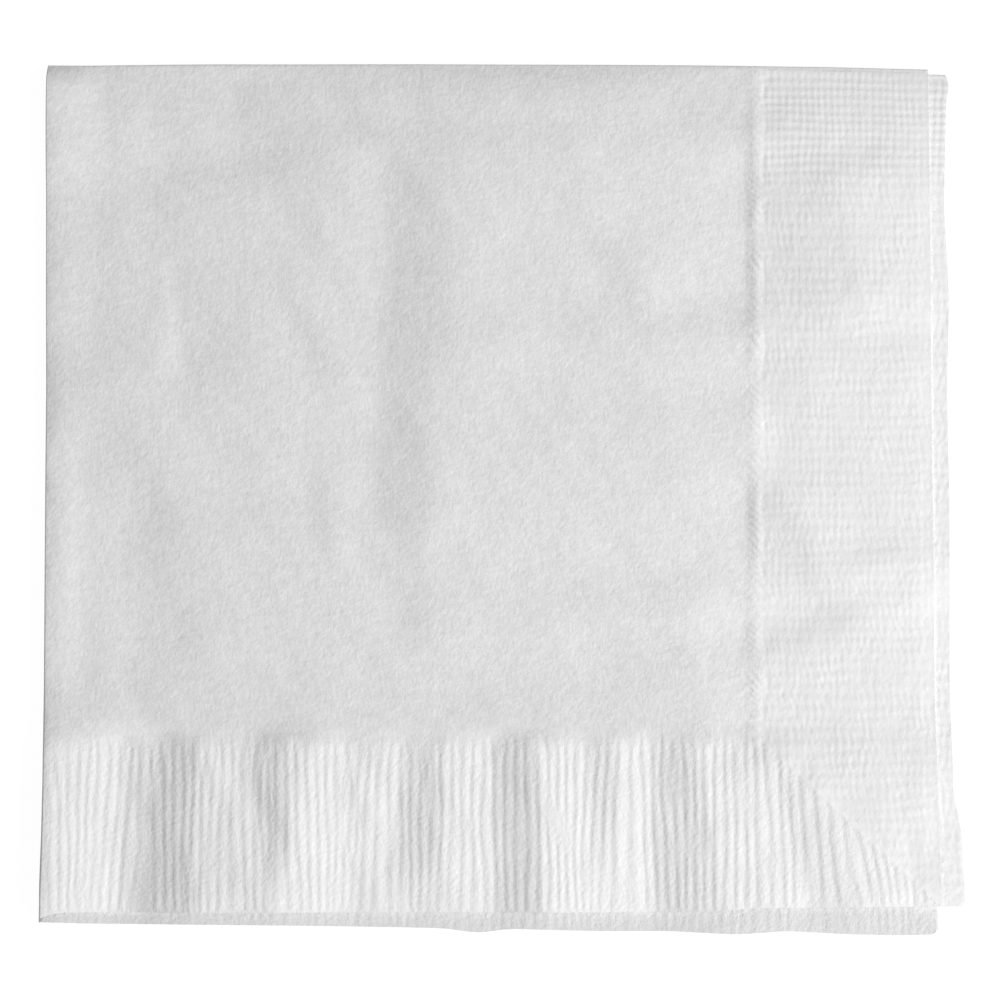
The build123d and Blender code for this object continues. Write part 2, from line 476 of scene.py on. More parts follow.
# %% Soft noise and soft steps
def soft_noise(a, b, size_a, size_b, seed, waves=28):
    """Smooth random relief of about unit height, with bumps about so many millimetres wide."""
    random = np.random.default_rng(seed)
    total = np.zeros_like(a)
    for _ in range(waves):
        angle, phase = random.uniform(0, 2 * math.pi, 2)
        pace = 2 * math.pi * random.uniform(0.4, 1.2)
        total += np.cos(pace * (math.cos(angle) * a / size_a + math.sin(angle) * b / size_b) + phase)
    return total * math.sqrt(2 / waves)


def smooth(value):
    """Soft step from 0 to 1 as the value goes from 0 to 1."""
    t = np.clip(value, 0, 1)
    return t * t * (3 - 2 * t)


# %% [markdown]
# The distances come straight from the flat places. The pitch of the beads' rows grows down
# the border, so their turns are added up along it instead of being divided by one pitch.

# %% Distances and turns
p, q = places.T
right_half = p > 0
lower_half = q < 0  # of the flat sheet, which becomes the upper pair
leaf_of = np.where(lower_half, np.where(right_half, 1, 2), np.where(right_half, 4, 3))
width = np.where(right_half, OUTER_WIDTH, INNER_WIDTH)
depth = np.where(lower_half, UPPER_DEPTH, LOWER_DEPTH)
a = np.maximum(np.abs(p) - first_half, 0)  # from the first fold
b = np.maximum(np.abs(q) - second_half, 0)  # from the second fold
from_right = width - a
from_bottom = depth - b
in_bottom = from_bottom < from_right  # the bottom border's side of the mitre
from_fold = smooth((np.abs(p) - first_half) / 1.2) * smooth((np.abs(q) - second_half) / 0.7)

MITRE_WIDTH = 0.7  # across which the ribs give way to the beads
rib_turns = (a - (width - BORDER)) / RIB_PITCH
down_border = np.linspace(0, 125, 501)  # every quarter of a millimetre
row_widths = ROW_PITCH + (LOW_ROW_PITCH - ROW_PITCH) * smooth((down_border - 8) / 18)
row_turns = np.interp(b, down_border, np.cumsum(0.25 / row_widths))
column_turns = from_right / COLUMN_PITCH
bottom_side = smooth((from_right - from_bottom) / MITRE_WIDTH + 0.5)
right_side = smooth((from_bottom - from_right) / MITRE_WIDTH + 0.5)
pressable = relief_flag * from_fold  # the folds were pressed flat after the embossing
in_border = np.minimum(from_right, from_bottom) < BORDER
print("points in the bottom border", int((in_border & in_bottom).sum()),
      "and in the side border", int((in_border & ~in_bottom).sum()))

# %% [markdown]
# Embossing rolls press ribs into the bottom border. The rolls are regular but the soft tissue
# isn't: ribs waver, near the corner they lean towards it, and some join or part on the way.
# Each share says how much of the full height a point gets.

# %% What makes the ribs uneven
RIB_WAVER = 0.22  # how far a rib strays sideways
CORNER_LEAN = math.tan(math.radians(4.5))
UNDER_SHARE = 0.45  # height of the ribs on leaf 3, which the stack above has pressed

waver = soft_noise(a, b, 7, 30, 11) * 0.6 + soft_noise(a, b, 2.5, 14, 12) * 0.4
hook = soft_noise(a, b, 2.5, 4, 19) * np.exp(-np.maximum(BORDER - from_bottom, 0) / 1.3)
lean = CORNER_LEAN * smooth((a - 92) / 22) + 0.03 * soft_noise(a, 0 * b, 12, 1, 36)
lean = lean * (BORDER - from_bottom)
rib_turns = rib_turns + (RIB_WAVER * waver + 0.2 * hook - lean) / RIB_PITCH
start = 0.4 * soft_noise(a, b, 2.2, 30, 20)  # ribs don't all begin at one line
rib_share = smooth((BORDER + 0.9 - from_bottom + start) / 2.0) * bottom_side
rib_share *= (1 - 0.35 * smooth(soft_noise(a, b, 9, 10, 13) - 0.4)) * pressable
rib_share *= 0.97 + 0.15 * smooth((a - 50) / 20)
at_cut_edge = smooth((from_bottom + 0.1) / 0.8)  # the knife presses the edge itself flat
rib_share *= at_cut_edge * np.where(leaf_of == 3, UNDER_SHARE, 1.0)
# Where this is negative, crests and valleys change places, and ribs join or part at its edge.
rib_side = np.clip(2.2 * (1.7 - soft_noise(a, b, 4.5, 20, 22)), -1, 1)
print("waver up to", round(float(np.abs(waver).max() * RIB_WAVER), 2), "mm, changed sides",
      round(float((rib_side < 0).mean()), 3))

# %% [markdown]
# The rolls press rows of beads into the side border. At its top the rows of round beads show
# most, and below that the beads are drawn out into short upright dashes that lean from side
# to side. They fade towards the top leaf's cut edge, where the paper is thin.

# %% What makes the beads uneven
dashes = smooth((b - 11) / 8)
row_share = 1.75 - 0.95 * dashes
row_turns = row_turns + (0.08 + 0.05 * dashes) * soft_noise(a, b, 14, 7, 14)
column_turns = (column_turns + 0.10 * soft_noise(a, b, 7, 8, 15)
                + 0.12 * dashes * soft_noise(a, b, 6, 3.5, 27))
# Where this is negative, a column's beads stand in the next one's gap.
column_side = np.clip(1 + dashes * (2.4 * soft_noise(a, b, 2.6, 3.2, 28) + 0.7), -1, 1)
bead_share = smooth((BORDER - 0.2 - from_right) / 0.8) * right_side * pressable
bead_share *= np.clip(1 + 0.2 * soft_noise(a, b, 6, 8, 16), 0.4, 1.5) * np.where(leaf_of == 2, 1.05, 1.0)
bead_share *= np.where(leaf_of == 1, 0.35 + 0.65 * smooth((from_right - 0.3) / 1.2), 1.0)
print("mean share of the beads", round(float(bead_share[bead_share > 0].mean()), 2))

# %% [markdown]
# Where the plain middle meets the side border, the paper stands up in a low ridge with short
# slanting strokes, and a fine groove runs beside it. Along the mitre, where neither pattern
# reaches, another low ridge is left. The crepe is deeper in the ribs and flatter in the
# beads, which the last value tells the material.

# %% The ridges beside the borders
RIDGE, STROKES, GROOVE, MITRE_RIDGE = 0.045, 0.035, 0.04, 0.045  # heights
ridge = np.exp(-((from_right - BORDER - 0.6) / 0.85) ** 2) * smooth((from_bottom - BORDER + 2.5) / 2)
ridge *= 1 + 0.3 * soft_noise(a, b, 4, 6, 23)
strokes = np.cos(2 * math.pi * (b / 1.15 + from_right / 1.9 + 0.3 * soft_noise(a, b, 6, 6, 24)))
groove = np.exp(-((from_right - BORDER + 0.75 + 0.2 * soft_noise(a, b, 8, 5, 17)) / 0.28) ** 2)
groove *= smooth(0.4 + 0.6 * soft_noise(a, b, 6, 4, 18)) * smooth((from_bottom - BORDER) / 2)
mitre_ridge = np.exp(-((from_right - from_bottom) / 0.5) ** 2) * smooth((BORDER - from_bottom) / 8)
plain_relief = RIDGE * ridge + STROKES * ridge * strokes - GROOVE * groove + MITRE_RIDGE * mitre_ridge
plain_relief *= pressable
# Share of the pressed borders: the crepe changes there, and the material paints them a shade lighter,
# which is painted light.
pressed_and_painted_light = smooth((BORDER + 0.4 - np.minimum(from_bottom, from_right)) / 1.2)
grain = 1 + pressed_and_painted_light * np.where(in_bottom, 0.35, -0.35)
print("ridges up to", round(float(plain_relief.max()), 3), "mm")

# %% [markdown]
# The sheet becomes a mesh of its own here, still flat and in millimetres. The turns and
# shares go onto its points as named values, most of them for the node tree below and two for
# the material. A flat map of the sheet is kept as its UV map, so that the crepe of the
# tissue later follows the paper round its folds.

# %% The flat mesh
flat_mesh = bpy.data.meshes.new("napkin_sheet")
flat_mesh.from_pydata(np.stack([p, q, outward * THICKNESS / 2], 1).tolist(), [], triangles.tolist())
relief_values = {"rib_turns": rib_turns, "rib_side": rib_side, "rib_share": rib_share,
                 "row_turns": row_turns, "row_share": row_share, "column_turns": column_turns,
                 "column_side": column_side, "bead_share": bead_share, "plain_relief": plain_relief}
paper_values = {"pressed_and_painted_light": pressed_and_painted_light, "grain": grain}
for name, value in {**relief_values, **paper_values}.items():
    flat_mesh.attributes.new(name, "FLOAT", "POINT").data.foreach_set("value", value.astype(np.float32))
uv = (places - places.min(0)) / CUT_WIDTH
loops = np.empty(len(flat_mesh.loops), dtype=np.int32)
flat_mesh.loops.foreach_get("vertex_index", loops)
flat_mesh.uv_layers.new(name="sheet").data.foreach_set("uv", uv[loops].astype(np.float32).ravel())
print("flat mesh", len(flat_mesh.vertices), "points", len(flat_mesh.polygons), "triangles")

# %% [markdown]
# Two-ply tissue is a soft felt of short fibres with a fine crepe, the tiny wrinkles left when
# it is scraped off its drying roll. It is matt and slightly bright at a glancing angle, like
# any fluff. Its white is uneven by a shade or two, so a third noise changes the colour, and
# the crepe and the felt are bump. The crepe is a fifth of a millimetre across, and it is
# drawn about three times as coarse, because finer would vanish between two pixels.

# %% Crepe and felt
CREPE = (0.58, 0.66)  # millimetres across and along the sheet
CREPE_DEPTH = 0.040
FELT = 2.0  # size of the clouds of fibre, millimetres
FELT_DEPTH = 0.070

tissue = bpy.data.materials.new("two-ply tissue paper")
tissue.use_nodes = True
tree = tissue.node_tree
tree.nodes.clear()
sheet_map = add_node(tree, "ShaderNodeUVMap", {"uv_map": "sheet"})
crepe_place = add_node(tree, "ShaderNodeMapping", None, {
    "Vector": sheet_map.outputs[0], "Scale": (CUT_WIDTH / CREPE[0], CUT_WIDTH / CREPE[1], 1)})
crepe = add_node(tree, "ShaderNodeTexNoise", None, {
    "Vector": crepe_place.outputs[0], "Scale": 1.0, "Detail": 1.0, "Roughness": 0.6})
felt = add_node(tree, "ShaderNodeTexNoise", None, {
    "Vector": sheet_map.outputs[0], "Scale": CUT_WIDTH / FELT, "Detail": 3.0, "Roughness": 0.6})
painted_light_share = add_node(tree, "ShaderNodeAttribute", {"attribute_name": "pressed_and_painted_light"})
grain_share = add_node(tree, "ShaderNodeAttribute", {"attribute_name": "grain"})
crepe_depth = add_node(tree, "ShaderNodeMath", {"operation": "MULTIPLY"}, {
    0: grain_share.outputs["Fac"], 1: CREPE_DEPTH * MM})
crepe_bump = add_node(tree, "ShaderNodeBump", None, {
    "Strength": 1.0, "Distance": crepe_depth.outputs[0], "Height": crepe.outputs["Fac"]})
felt_bump = add_node(tree, "ShaderNodeBump", None, {
    "Strength": 1.0, "Distance": FELT_DEPTH * MM, "Height": felt.outputs["Fac"],
    "Normal": crepe_bump.outputs[0]})
print("crepe", CREPE, "mm, felt", FELT, "mm")

# %% [markdown]
# The white goes from one shade to the next in small soft spots, where fibres lie thicker. In
# the borders both plies are pressed together, and the white is more even there. The borders
# are also painted a shade lighter, a painted highlight for the light that they catch.

# %% Colour of the tissue
SPOT = 1.3  # size of the spots of shade, millimetres

cloud = add_node(tree, "ShaderNodeTexNoise", None, {
    "Vector": sheet_map.outputs[0], "Scale": CUT_WIDTH / SPOT, "Detail": 3.0, "Roughness": 0.8})
tone = add_node(tree, "ShaderNodeMapRange", None, {
    "Value": cloud.outputs["Fac"], "From Min": 0.3, "From Max": 0.7})
# Sockets 6 and 7 of a Mix node are its two colours.
colour = add_node(tree, "ShaderNodeMix", {"data_type": "RGBA"}, {
    "Factor": tone.outputs[0], 6: linear("#DBDBDB"), 7: linear("#E8E8E8")})
# In the borders the white is even and painted a shade lighter: a painted highlight, not the paper's own
# colour.
white = add_node(tree, "ShaderNodeMix", {"data_type": "RGBA"}, {
    "Factor": painted_light_share.outputs["Fac"], 6: colour.outputs[2], 7: linear("#E7E7E7")})
paper = add_node(tree, "ShaderNodeBsdfPrincipled", None, {
    "Base Color": white.outputs[2], "Normal": felt_bump.outputs[0], "Roughness": 0.95,
    "Specular IOR Level": 0.15, "Sheen Weight": 0.08, "Sheen Roughness": 0.6})
add_node(tree, "ShaderNodeOutputMaterial", None, {"Surface": paper.outputs[0]})
print("material", tissue.name, "with", len(tree.nodes), "nodes")

# %% [markdown]
# Geometry Nodes turn the named values into relief. The tree has named inputs for the heights,
# so one number changes all the embossing. It starts by reading what it works with: its own
# inputs, the named values on the points, and three seeded noises over the flat sheet.

# %% What the embossing tree reads
embossing = bpy.data.node_groups.new("Embossing", "GeometryNodeTree")
embossing.interface.new_socket("Geometry", in_out="OUTPUT", socket_type="NodeSocketGeometry")
SOCKETS = {"Geometry": "Geometry", "Rib height": "Float", "Bead height": "Float",
           "Filled valleys": "Float", "Seed": "Float", "Paper": "Material"}
identifier = {}
for name, kind in SOCKETS.items():
    socket = embossing.interface.new_socket(name, in_out="INPUT", socket_type="NodeSocket" + kind)
    identifier[name] = socket.identifier
given = add_node(embossing, "NodeGroupInput").outputs
known = {name: given[name] for name in ("Rib height", "Bead height", "Filled valleys")}
for name in relief_values:
    node = add_node(embossing, "GeometryNodeInputNamedAttribute", {"data_type": "FLOAT"}, {"Name": name})
    known[name] = node.outputs["Attribute"]

NOISES = {  # size across and along the sheet in millimetres, and detail
    "rib noise": (2.0, 4.0, 2.0),
    "bead noise": (1.6, 2.4, 2.0),
    "valley noise": (1.5, 9.0, 1.0),
}
position = add_node(embossing, "GeometryNodeInputPosition").outputs[0]
for name, (size_across, size_along, detail) in NOISES.items():
    place = add_node(embossing, "ShaderNodeVectorMath", {"operation": "MULTIPLY"},
                     {0: position, 1: (1 / size_across, 1 / size_along, 0)})
    node = add_node(embossing, "ShaderNodeTexNoise", {"noise_dimensions": "4D"}, {
        "Vector": place.outputs[0], "W": given["Seed"], "Scale": 1.0, "Detail": detail})
    known[name] = node.outputs["Fac"]
known["fill"] = add_node(embossing, "ShaderNodeMapRange", {"interpolation_type": "SMOOTHSTEP"}, {
    "Value": known["valley noise"], "From Min": 0.55, "From Max": 0.72}).outputs[0]
print("the tree knows", len(known), "values")

# %% [markdown]
# Relief is plain arithmetic, so it is written as a list of steps: the value that a step
# makes, what it does, and with what. A rib is a rounded ridge. Its height is a wave between 0
# and 1 raised to a power below one, which makes crests broad and valleys narrow. Some
# valleys are filled, because the tissue wasn't pressed right down there, and then two ribs
# run together. A bead is a column of the pattern crossed by its rows.

# %% The steps of the relief
TURN = 2 * math.pi
ROUNDED = 0.8  # the power that makes crests broad
MIDDLE = 0.35  # the level of a rib's wave that stays at the height of the plain paper
VALLEY = 0.85  # how high a filled valley stands
COLUMN_SHARE = 0.55  # how much of the bead height the columns get

STEPS = [
    # A rib's left flank is steeper than its right one, so its wave is pushed a little to the left.
    ("push", "MULTIPLY", "rib_turns", TURN),
    ("push", "COSINE", "push"),
    ("rib", "MULTIPLY_ADD", "push", 0.05, "rib_turns"),
    ("rib", "MULTIPLY", "rib", TURN),
    ("rib", "COSINE", "rib"),
    ("rib", "MULTIPLY", "rib", "rib_side"),
    ("rib", "MULTIPLY_ADD", "rib", 0.5, 0.5),
    ("rib", "POWER", "rib", ROUNDED),
    ("fill", "MULTIPLY", "fill", "Filled valleys"),
    ("gap", "SUBTRACT", VALLEY, "rib"),
    ("gap", "MULTIPLY", "fill", "gap"),
    ("rib", "ADD", "rib", "gap"),
    ("uneven", "MULTIPLY_ADD", "rib noise", 0.7, 0.65),
    ("rib", "MULTIPLY", "rib", "uneven"),
    ("rib", "SUBTRACT", "rib", MIDDLE),
    ("rib", "MULTIPLY", "rib", "rib_share"),
    ("rib", "MULTIPLY", "rib", "Rib height"),
    # Between the rows the tissue is pressed deeper than between the columns.
    ("column", "MULTIPLY", "column_turns", TURN),
    ("column", "COSINE", "column"),
    ("column", "MULTIPLY", "column", "column_side"),
    ("column", "MULTIPLY_ADD", "column", 0.5, 0.5),
    ("column", "POWER", "column", ROUNDED),
    ("column", "MULTIPLY", "column", COLUMN_SHARE),
    ("row", "MULTIPLY", "row_turns", TURN),
    ("row", "COSINE", "row"),
    ("row", "MULTIPLY_ADD", "row", 0.5, 0.5),
    ("row", "POWER", "row", 0.5),
    ("row", "SUBTRACT", "row", 1.0),
    ("row", "MULTIPLY", "row", "row_share"),
    ("rough", "MULTIPLY_ADD", "bead noise", 1.0, 0.5),
    ("column", "MULTIPLY", "column", "rough"),
    ("bead", "ADD", "column", "row"),
    ("bead", "MULTIPLY", "bead", "bead_share"),
    ("bead", "MULTIPLY", "bead", "Bead height"),
    ("relief", "ADD", "rib", "bead"),
    ("relief", "ADD", "relief", "plain_relief"),
]
for name, operation, *terms in STEPS:
    inputs = {slot: known.get(term, term) for slot, term in enumerate(terms)}
    known[name] = add_node(embossing, "ShaderNodeMath", {"operation": operation}, inputs).outputs[0]
print("steps", len(STEPS))

# %% [markdown]
# At the end of the tree the points move up or down by the relief, and the paper's material
# is put on.

# %% The end of the tree
move = add_node(embossing, "ShaderNodeCombineXYZ", None, {"Z": known["relief"]}).outputs[0]
moved = add_node(embossing, "GeometryNodeSetPosition", None,
                 {"Geometry": given["Geometry"], "Offset": move})
realized = add_node(embossing, "GeometryNodeRealizeInstances", None, {"Geometry": moved.outputs[0]})
painted = add_node(embossing, "GeometryNodeSetMaterial", None,
                   {"Geometry": realized.outputs[0], "Material": given["Paper"]})
add_node(embossing, "NodeGroupOutput", None, {"Geometry": painted.outputs[0]})
print("embossing tree", len(embossing.nodes), "nodes")

# %% [markdown]
# The modifier's inputs are set by their identifiers before it is first worked out. Then the
# result is copied as a plain mesh, and the modifier has done its work.

# %% Emboss the flat sheet
RIB_HEIGHT = 0.062
BEAD_HEIGHT = 0.045

napkin = bpy.data.objects.new("napkin_sheet", flat_mesh)
bpy.context.collection.objects.link(napkin)
modifier = napkin.modifiers.new("embossing", "NODES")
modifier.node_group = embossing
choices = {"Rib height": RIB_HEIGHT, "Bead height": BEAD_HEIGHT, "Filled valleys": 0.6,
           "Seed": 4.0, "Paper": tissue}
for name, value in choices.items():
    modifier[identifier[name]] = value
bpy.context.view_layer.update()
embossed = bpy.data.meshes.new_from_object(napkin.evaluated_get(bpy.context.evaluated_depsgraph_get()))
napkin.modifiers.remove(modifier)
napkin.data = embossed
embossed.name = "napkin_sheet"
points = np.empty(len(embossed.vertices) * 3, dtype=np.float32)
embossed.vertices.foreach_get("co", points)
height = points.reshape(-1, 3)[:, 2].astype(float)  # above the middle of the paper
relief = height - outward * THICKNESS / 2
print("relief from", round(float(relief.min()), 3), "to", round(float(relief.max()), 3), "mm")

# %% [markdown]
# No leaf is quite square, so before the folding each leaf is stretched to its own cut edges,
# sideways in its side border and downwards in its plain middle, and the cut corners are
# rounded. The folds aren't quite straight either, and bow by a fraction of a millimetre.

# %% The leaves' own outlines
CORNER_RADIUS = 0.8


def round_corners(u, v, radius):
    """Moves points near a cut corner onto a rounded one; u and v run in from the edges."""
    du, dv = np.maximum(radius - u, 0), np.maximum(radius - v, 0)
    length = np.maximum(np.hypot(du, dv), 1e-9)
    share = np.where((du > 0) & (dv > 0), np.maximum(du, dv) / length, 1.0)
    return u + du * (1 - share), v + dv * (1 - share)


rounded_u, rounded_v = round_corners(from_right, from_bottom, CORNER_RADIUS)
a_cut, b_cut = width - rounded_u, depth - rounded_v
a_cut = np.where(a > 0, a_cut, 0)
b_cut = np.where(b > 0, b_cut, 0)
across_leaf, down_leaf = np.zeros_like(a), np.zeros_like(b)
for number, leaf in LEAVES.items():
    own = leaf_of == number
    stretch = np.clip((a_cut[own] - (leaf["width"] - BORDER)) / BORDER, 0, 1)
    across_leaf[own] = a_cut[own] + (leaf["right"](b_cut[own]) - leaf["width"]) * stretch
    across_leaf[own] += leaf["lean"] * b_cut[own] / leaf["depth"] * (1 - a_cut[own] / leaf["width"])
    stretch = np.clip(b_cut[own] / (leaf["depth"] - BORDER), 0, 1)
    down_leaf[own] = b_cut[own] + (leaf["bottom"](a_cut[own]) - leaf["depth"]) * stretch

BOW_REACH = 60.0  # the bow of a fold is gone this far from it
SET_BACK = 0.65  # the inner fold doesn't reach right into the outer one
left_bow = curve([(0, 0.10), (0.8, -0.1), (8, -0.1), (18, 0.02), (32, 0.14), (46, 0.28), (60, 0.30),
                  (75, 0.35), (89, 0.40), (103, 0.34), (110, 0.24), (117, 0.04)], 0.6)
across_leaf += left_bow(b) * smooth(1 - a / BOW_REACH)
top_bow = curve([(0, 0.12), (2, 0.0), (21, 0.32), (36, 0.38), (50, 0.47), (79, 0.52), (93, 0.50),
                 (102, 0.42), (113, 0.31), (124, 0.04)], 4)
down_leaf -= top_bow(a) * smooth(1 - b / BOW_REACH)
down_leaf += SET_BACK * smooth(a / 20) * smooth(1 - b / 30) * (p < 0)
print("leaves up to", round(float(across_leaf.max()), 1), "x", round(float(down_leaf.max()), 1), "mm")

# %% [markdown]
# Now the folding. Round the first fold a point turns about an axis that runs down the left
# side, and round the second one the doubled sheet turns about an axis along the top. Past
# half of each fold the paper goes on straight. Away from both folds the stack opens, with
# its four leaves evenly apart, and the paper is never thicker than its own space allows.

# %% Fold it
LEAF_FILL = 0.8  # a leaf may fill this share of its space
first_turn = np.clip(p / FIRST_RADIUS, -math.pi / 2, math.pi / 2)
second_turn = np.clip(q / SECOND_RADIUS, -math.pi / 2, math.pi / 2)
pinch = PINCHED + (1 - PINCHED) * (1 - np.exp(-a / 4)) * (1 - np.exp(-b / 2))
open_left = 0.1 * (1 - np.exp(-a / 0.6)) + 0.9 * (1 - np.exp(-a / 50))
open_top = 0.5 * (1 - np.exp(-b / 3)) + 0.5 * (1 - np.exp(-b / 20))
half_stack = FIRST_RADIUS + (LEAF_PITCH / 2 - FIRST_RADIUS) * open_left * open_top
half_stack += SECOND_RADIUS + (LEAF_PITCH - SECOND_RADIUS) * (0.6 + 0.4 * open_left) * open_top
pair_radius, stack_radius = half_stack / 3, half_stack * 2 / 3  # which spaces the four leaves evenly
room = LEAF_FILL * 2 * pair_radius / THICKNESS
pinch = (pinch ** -6 + room ** -6) ** (-1 / 6)  # the smaller of the two, with a soft change
feather = 0.6 + 0.4 * smooth(np.minimum(from_right, from_bottom) / 2.5)  # the cut edges are thin
height = relief + outward * THICKNESS / 2 * pinch * feather
x = fold_x - FLAT * (pair_radius + height) * np.cos(first_turn) + across_leaf
middle_of_paper = stack_radius + pair_radius * np.sin(first_turn)
radius = middle_of_paper + height * np.sin(first_turn)
y = fold_y + FLAT * radius * np.cos(second_turn) - down_leaf
z = stack_radius + pair_radius + THICKNESS * pinch / 2 - radius * np.sin(second_turn)
print("folded", round(np.ptp(x), 2), "x", round(np.ptp(y), 2), "x", round(np.ptp(z), 2), "mm")

# %% [markdown]
# A napkin from the packet isn't a pressed block. Air lifts its top leaf away from the folds,
# the bottom border falls in loose pleats across the ribs, and soft creases cross the middle.
# Each of them is a strip of paper that leans to one side. It is placed along a line
# and as wide as the strip, and the paper next to it eases back.

# %% Pleats of the bottom border and creases of the middle
# Both lists give a line from x, y to x, y down the left side of a strip, or along its lower
# side, then the strip's width at both ends of the line, how steeply it climbs to the right,
# or upwards, how far the paper next to it needs to ease back, and how softly it bends.
PLEATS = [
    (-64.0, -30.0, -65.2, -62.0, 11.0, 11.0, -0.110, 8.0, 2.0),
    (-48.0, -32.0, -51.8, -62.0, 5.2, 8.0, 0.118, 8.0, 1.3),
    (-36.4, -32.0, -33.2, -53.0, 5.6, 3.6, 0.115, 5.0, 1.3),
    (-25.6, -32.0, -33.0, -62.0, 3.5, 13.5, -0.095, 10.0, 1.5),
    (-20.5, -38.0, -19.5, -62.0, 6.0, 7.0, -0.050, 6.0, 2.0),
    (-13.0, -32.0, -15.8, -52.0, 5.0, 7.8, 0.085, 4.0, 1.4),
    (-1.2, -32.0, -0.8, -62.0, 6.0, 7.0, 0.145, 6.0, 1.6),
    (11.9, -32.0, 13.4, -50.0, 4.0, 3.0, 0.120, 4.0, 1.2),
    (21.4, -32.0, 21.4, -62.0, 5.6, 10.8, 0.125, 8.0, 1.5),
    (29.0, -34.0, 31.0, -62.0, 11.0, 10.0, 0.050, 10.0, 3.0),
    (38.6, -40.0, 44.6, -62.0, 5.5, 7.0, 0.120, 18.0, 1.2),
    (46.0, -43.0, 53.5, -62.0, 6.0, 7.0, 0.070, 20.0, 1.5),
]
CREASES = [
    (-16.4, 49.0, -16.5, 19.0, 7.0, 8.8, 0.042, 12.0, 0.5),
    (-16.8, 47.0, -16.9, 19.0, 10.0, 11.5, 0.036, 12.0, 1.8),
    (-16.6, 19.0, -18.8, -3.5, 6.5, 8.0, 0.045, 10.0, 0.6),
    (-17.6, 18.0, -20.0, -4.0, 9.5, 10.5, 0.038, 10.0, 1.8),
    (-15.5, -4.0, -13.5, -19.0, 5.5, 4.0, 0.060, 8.0, 1.2),
    (-27.0, 50.4, 12.0, 50.4, 4.0, 4.0, -0.070, 8.0, 0.8),
    (-48.5, 35.0, -49.5, 16.0, 1.0, 4.5, -0.090, 4.0, 0.4),
    (-64.5, 62.0, -64.5, 20.0, 8.0, 6.0, -0.060, 8.0, 2.0),
    (-66.6, 20.0, -66.6, 6.0, 3.5, 3.3, 0.080, 5.0, 0.8),
    (-64.4, 8.0, -64.4, -26.0, 5.0, 5.0, -0.085, 6.0, 1.5),
    (-59.0, -19.0, -60.8, -33.0, 3.5, 4.0, 0.045, 4.0, 1.2),
    (-57.2, 13.6, -45.2, -23.4, 4.5, 5.0, 0.045, 6.0, 1.2),
    (-47.1, 14.3, -34.9, -0.8, 3.0, 4.0, 0.050, 5.0, 0.8),
    (-44.4, 23.9, -35.6, 7.4, 4.0, 4.0, 0.040, 5.0, 1.0),
    (-31.7, 27.7, -26.0, 11.9, 4.0, 4.0, 0.045, 5.0, 1.0),
    (-28.0, 4.0, -26.0, -8.5, 3.0, 3.0, 0.075, 4.0, 0.8),
    (-35.8, 51.4, -29.5, 34.0, 5.0, 6.0, 0.035, 6.0, 1.2),
    (20.0, 36.0, 25.0, -3.0, 12.0, 10.0, -0.030, 14.0, 4.0),
    (27.0, -14.0, 29.0, -36.0, 6.0, 7.0, -0.060, 10.0, 3.0),
    (7.8, 41.8, 18.8, 22.7, 4.0, 4.0, 0.045, 6.0, 1.2),
    (34.2, 50.0, 34.4, 25.5, 1.6, 1.6, 0.100, 5.0, 0.6),
    (34.5, 2.0, 34.6, -10.0, 1.6, 1.6, 0.100, 5.0, 0.6),
    (36.0, 48.0, 36.4, 26.0, 11.0, 15.0, 0.080, 25.0, 2.0),
    (37.0, 22.0, 38.0, 14.0, 3.0, 7.0, 0.045, 20.0, 1.2),
    (35.4, 2.0, 36.4, -12.0, 4.0, 9.0, 0.085, 25.0, 1.8),
    (34.5, 14.0, 34.5, 5.0, 5.0, 4.0, -0.050, 6.0, 1.2),
    (37.0, -6.0, 41.0, -22.0, 8.0, 13.0, 0.030, 10.0, 2.0),
    (54.5, 15.0, 54.5, -3.0, 6.0, 6.0, -0.020, 8.0, 3.0),
    (-65.5, 64.0, -65.5, 46.0, 28.0, 26.0, -0.040, 14.0, 2.0),
    (-65.5, 64.0, -65.5, 55.0, 7.0, 7.0, -0.080, 5.0, 1.5),
    (-54.5, 62.0, -54.5, 12.0, 4.5, 4.5, -0.035, 6.0, 1.5),
    (-62.5, 2.0, -62.5, -33.0, 9.0, 11.0, -0.040, 8.0, 2.0),
    (8.0, 64.0, 8.0, 54.0, 24.0, 24.0, -0.030, 25.0, 4.0),
    (57.5, -48.0, 58.5, -60.0, 7.0, 7.0, 0.080, 4.0, 1.5),
    (42.0, -10.0, 44.0, -18.0, 9.0, 14.0, 0.060, 30.0, 2.0),
]
print(len(PLEATS), "pleats and", len(CREASES), "creases")

# %% [markdown]
# The lift is worked out for the top leaf and shared out through the stack, all of it at the
# top and none at the table, so the leaves below follow it. The lower pair curls up a little
# where it looks out at the bottom.

# %% Drape it
FADE = 7.0  # how softly a strip begins and ends
SIDE_FALL = 0.025  # how steeply the side border falls to its cut edge
MIDDLE_AIR, BORDER_AIR = 0.2, 0.65  # what air lifts the middle by, and the bottom border above that
DRAG_SLANT = math.radians(-52)  # the drag wrinkles run down to the right
CURL = 0.20  # how steeply the lower pair curls up


def leaning_strip(x, y, place):
    """Rise of one strip that leans to a side, with the paper next to it easing back."""
    x0, y0, x1, y1, start_width, end_width, steepness, reach, soft = place
    length = math.hypot(x1 - x0, y1 - y0)
    run_x, run_y = (x1 - x0) / length, (y1 - y0) / length
    along = (x - x0) * run_x + (y - y0) * run_y
    off = (y - y0) * run_x - (x - x0) * run_y
    strip = start_width + (end_width - start_width) * np.clip(along / length, 0, 1)
    climb = (np.hypot(off, soft) - np.hypot(off - strip, soft)) / 2
    outside = np.maximum(np.maximum(-off, off - strip), 0)
    fade = smooth(along / FADE + 0.5) * smooth((length - along) / FADE + 0.5)
    return steepness * climb * np.exp(-outside / reach) * fade


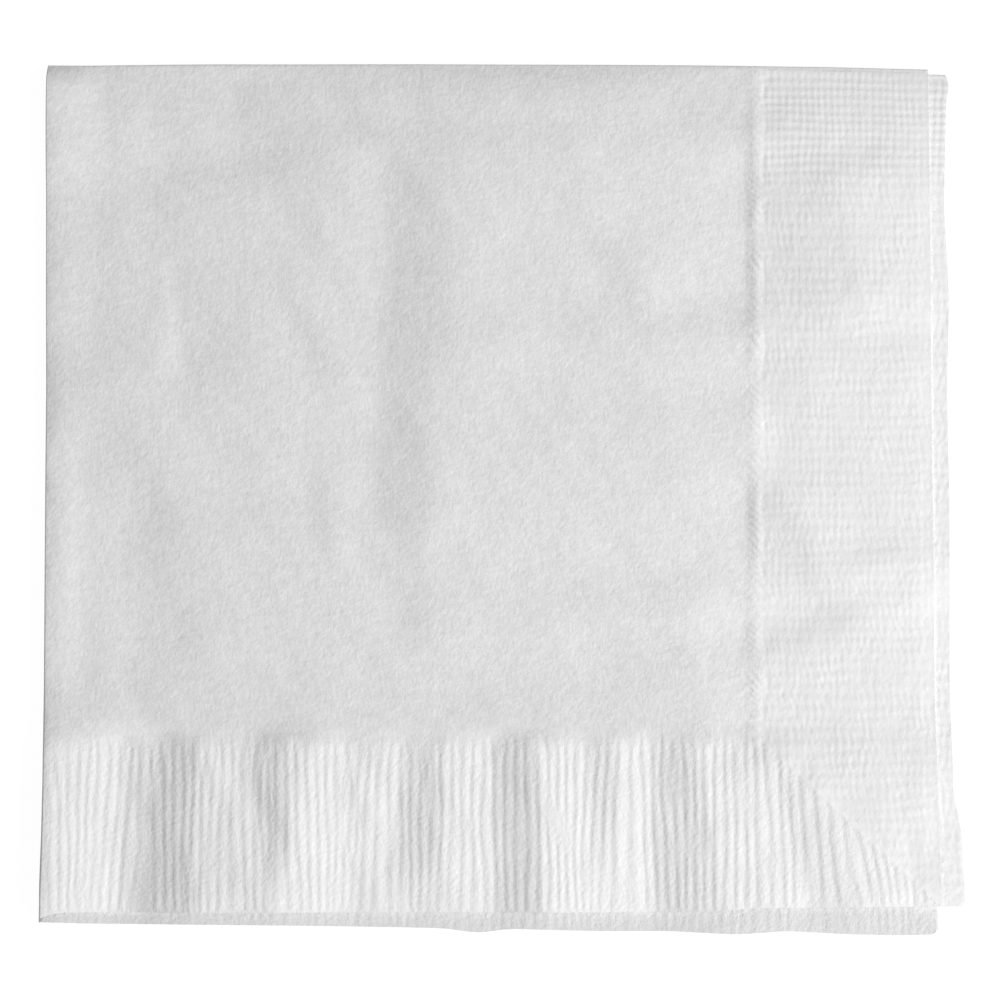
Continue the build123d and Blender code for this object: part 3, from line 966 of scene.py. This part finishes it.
def lift(x, y):
    """How far the top leaf stands above the stack."""
    from_left = np.maximum(x - fold_x, 0)
    from_top = np.maximum(fold_y - y, 0)
    from_cut = y - (fold_y - UPPER_DEPTH)
    air = MIDDLE_AIR * (1 - np.exp(-from_top / 15)) + BORDER_AIR * smooth((BORDER + 10 - from_cut) / 26)
    air -= SIDE_FALL * np.maximum(from_left - (OUTER_WIDTH - BORDER), 0) * smooth(from_top / 30)
    pleats = sum(leaning_strip(x, y, place) for place in PLEATS) * smooth((BORDER + 3 - from_cut) / 4)
    bent_x = x + 0.35 * soft_noise(x, y, 11, 11, 33) * (from_left < 95)
    bent_y = y + 0.35 * soft_noise(x, y, 11, 11, 34)
    creases = sum(leaning_strip(bent_x, bent_y, place) for place in CREASES)
    run = x * math.cos(DRAG_SLANT) + y * math.sin(DRAG_SLANT)
    cross = y * math.cos(DRAG_SLANT) - x * math.sin(DRAG_SLANT)
    drag = 0.018 * soft_noise(run, cross, 18, 4.5, 26) * smooth(1.3 - np.abs(from_left - 50) / 60)
    small = 0.02 * soft_noise(x, y, 12, 12, 21) + 0.007 * soft_noise(x, y, 4, 4, 25)
    small += 0.0016 * soft_noise(x, y, 1.4, 1.9, 35)
    return air + pleats + (creases + drag + small) * (1 - np.exp(-from_top / 1.5))


top_lift = lift(x, y)
print("the top leaf is lifted by up to", round(float(top_lift.max()), 2), "mm")
level = 0.5 - 0.5 * middle_of_paper * np.sin(second_turn) / (stack_radius + pair_radius)
under_edge = fold_y - upper_bottom(x - fold_x) - y
curl = CURL * np.maximum(under_edge + 0.3, 0) * (b > BORDER)
z = z + top_lift * level + curl * (leaf_of > 2)
z = z - z.min()
print("draped height", round(float(np.ptp(z)), 2), "mm")

# %% Finish the piece
embossed.vertices.foreach_set("co", (np.stack([x, y, z], 1) * MM).astype(np.float32).ravel())
for name in relief_values:
    embossed.attributes.remove(embossed.attributes[name])
embossed.update()
embossed.shade_smooth()
embossed.set_sharp_from_angle(angle=math.radians(60))
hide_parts("napkin")
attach(napkin, "root")
print("normals point out:", embossed.polygons[0].normal.z > 0)
